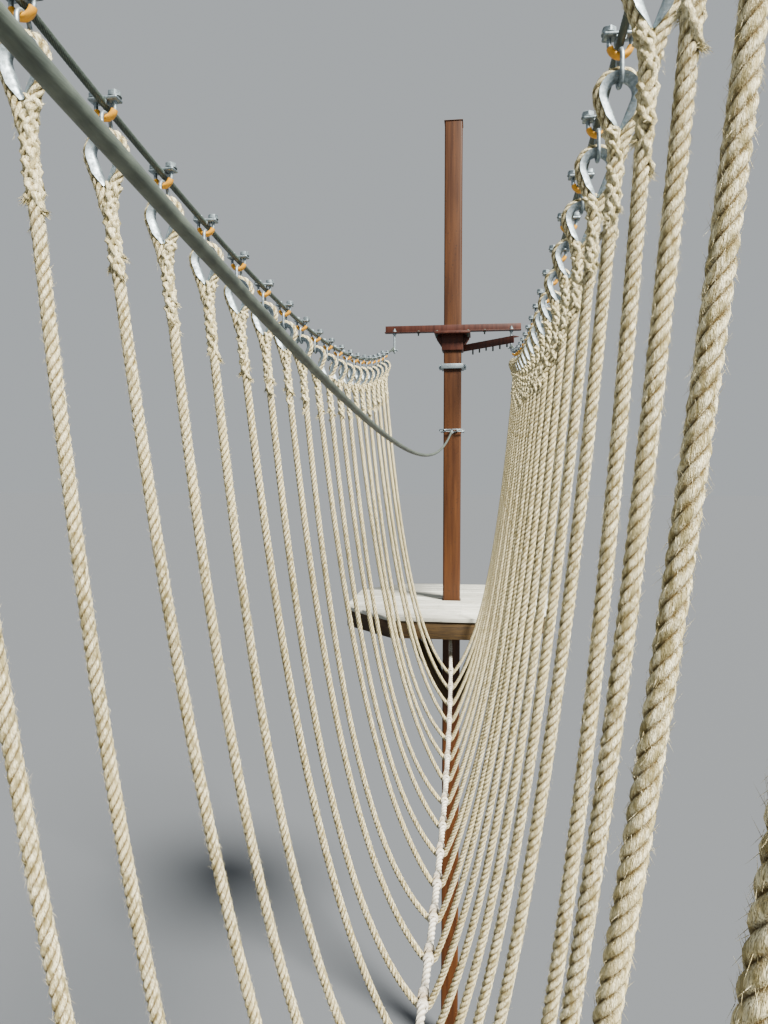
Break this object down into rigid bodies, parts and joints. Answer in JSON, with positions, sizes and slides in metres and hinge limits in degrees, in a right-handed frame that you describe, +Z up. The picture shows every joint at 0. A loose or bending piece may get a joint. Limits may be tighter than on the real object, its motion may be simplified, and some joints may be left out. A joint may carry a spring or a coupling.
{
  "type": "rope suspension footbridge",
  "caption": "V-shaped rope footbridge: fibre ropes hang from wire hand cables and carry a foot line between posts with octagonal platforms.",
  "frame": {"origin": "centre of the underside of the near post's base plate, on the ground", "axes": "+X to the right and +Y along the bridge towards the far post, +Z up"},
  "size_m": [2.1, 10.66, 9.95],
  "materials": {
    "hemp_rope": "fuzzy laid fibre rope",
    "foot_rope": "worn smooth laid rope",
    "wire_rope": "weathered galvanised wire rope",
    "galvanised": "hot-dip galvanised steel",
    "liner": "moulded orange liner",
    "sheath": "smooth plastic sheath over wire rope",
    "post_paint": "brown paint on steel, weathered",
    "arm_paint": "red-brown primer paint on steel",
    "deck_boards": "silvered softwood boards",
    "frame_timber": "brown stained timber"
  },
  "bodies": {
    "root": {"v_rope_01": "hemp_rope", "v_rope_02": "hemp_rope", "v_rope_03": "hemp_rope", "v_rope_04": "hemp_rope", "v_rope_05": "hemp_rope", "v_rope_06": "hemp_rope", "v_rope_07": "hemp_rope", "v_rope_08": "hemp_rope", "v_rope_09": "hemp_rope", "v_rope_10": "hemp_rope", "v_rope_11": "hemp_rope", "v_rope_12": "hemp_rope", "v_rope_13": "hemp_rope", "v_rope_14": "hemp_rope", "v_rope_15": "hemp_rope", "v_rope_16": "hemp_rope", "v_rope_17": "hemp_rope", "v_rope_18": "hemp_rope", "v_rope_19": "hemp_rope", "v_rope_20": "hemp_rope", "v_rope_21": "hemp_rope", "v_rope_22": "hemp_rope", "left_hand_cable": "wire_rope", "right_hand_cable": "wire_rope", "foot_line": "foot_rope", "lifeline": "sheath", "near_post": "post_paint", "near_guy_collar": "galvanised", "near_head_collar": "arm_paint", "near_cross_arm": "arm_paint", "near_side_arm": "arm_paint", "near_left_eye_bolt": "galvanised", "near_right_eye_bolt": "galvanised", "near_foot_collar": "galvanised", "near_deck": "deck_boards", "near_deck_frame": "frame_timber", "near_knee_brace_1": "frame_timber", "near_knee_brace_2": "frame_timber", "near_knee_brace_3": "frame_timber", "near_knee_brace_4": "frame_timber", "near_chain_sling": "galvanised", "far_post": "post_paint", "far_guy_collar": "galvanised", "far_head_collar": "arm_paint", "far_cross_arm": "arm_paint", "far_side_arm": "arm_paint", "far_left_eye_bolt": "galvanised", "far_right_eye_bolt": "galvanised", "far_foot_collar": "galvanised", "far_deck": "deck_boards", "far_deck_frame": "frame_timber", "far_knee_brace_1": "frame_timber", "far_knee_brace_2": "frame_timber", "far_knee_brace_3": "frame_timber", "far_knee_brace_4": "frame_timber", "far_chain_sling": "galvanised"}
  },
  "joints": []
}
